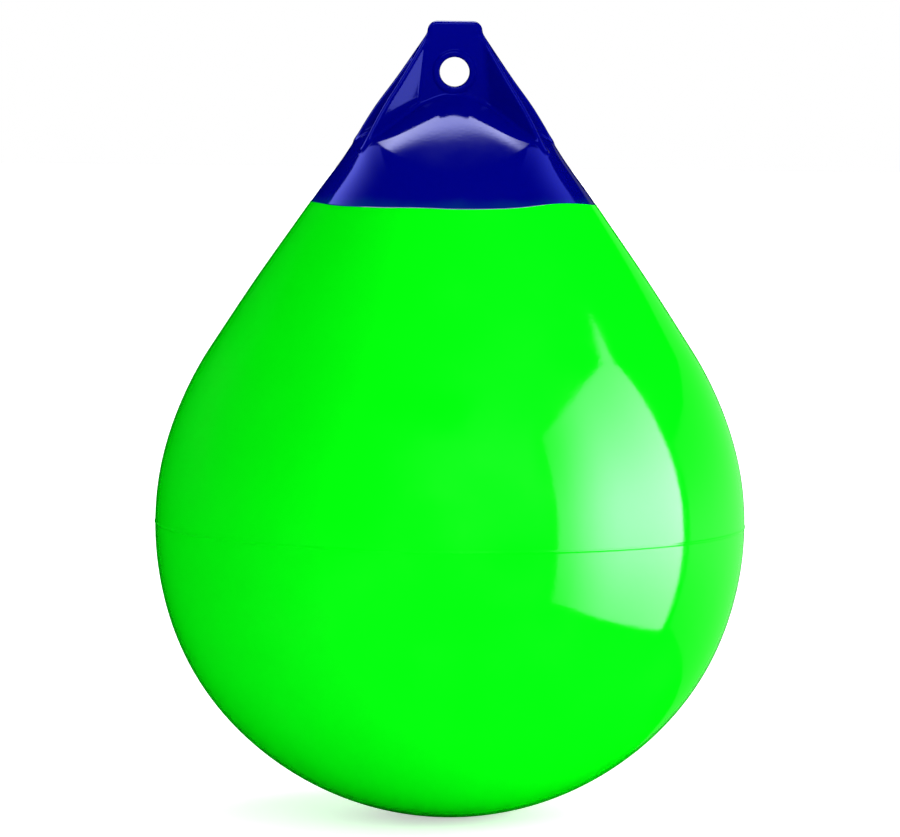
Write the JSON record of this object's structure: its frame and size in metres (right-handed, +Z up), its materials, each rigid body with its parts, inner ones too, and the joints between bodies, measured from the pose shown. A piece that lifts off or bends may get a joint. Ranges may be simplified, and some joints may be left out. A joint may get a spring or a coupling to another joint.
{
  "type": "inflatable mooring buoy",
  "caption": "Teardrop inflatable vinyl buoy with a round hollow float, a tapered neck and a ribbed rope-eye head, for moorings, markers and fendering.",
  "frame": {"origin": "centre of the rope eye, midway through its bore", "axes": "+Z up along the buoy's axis from the float to the rope eye, +Y along the rope eye's bore towards the valve side, -Y the front shown in the picture"},
  "size_m": [0.4332, 0.433, 0.5831],
  "materials": {
    "float_vinyl": "glossy moulded vinyl",
    "head_vinyl": "glossy moulded vinyl",
    "valve_nylon": "satin moulded nylon",
    "valve_rubber": "matt rubber"
  },
  "bodies": {
    "root": {"float_shell": "float_vinyl", "rope_head": "head_vinyl", "valve_body": "valve_nylon", "valve_seal": "valve_rubber", "valve_plug": "valve_nylon"}
  },
  "joints": []
}
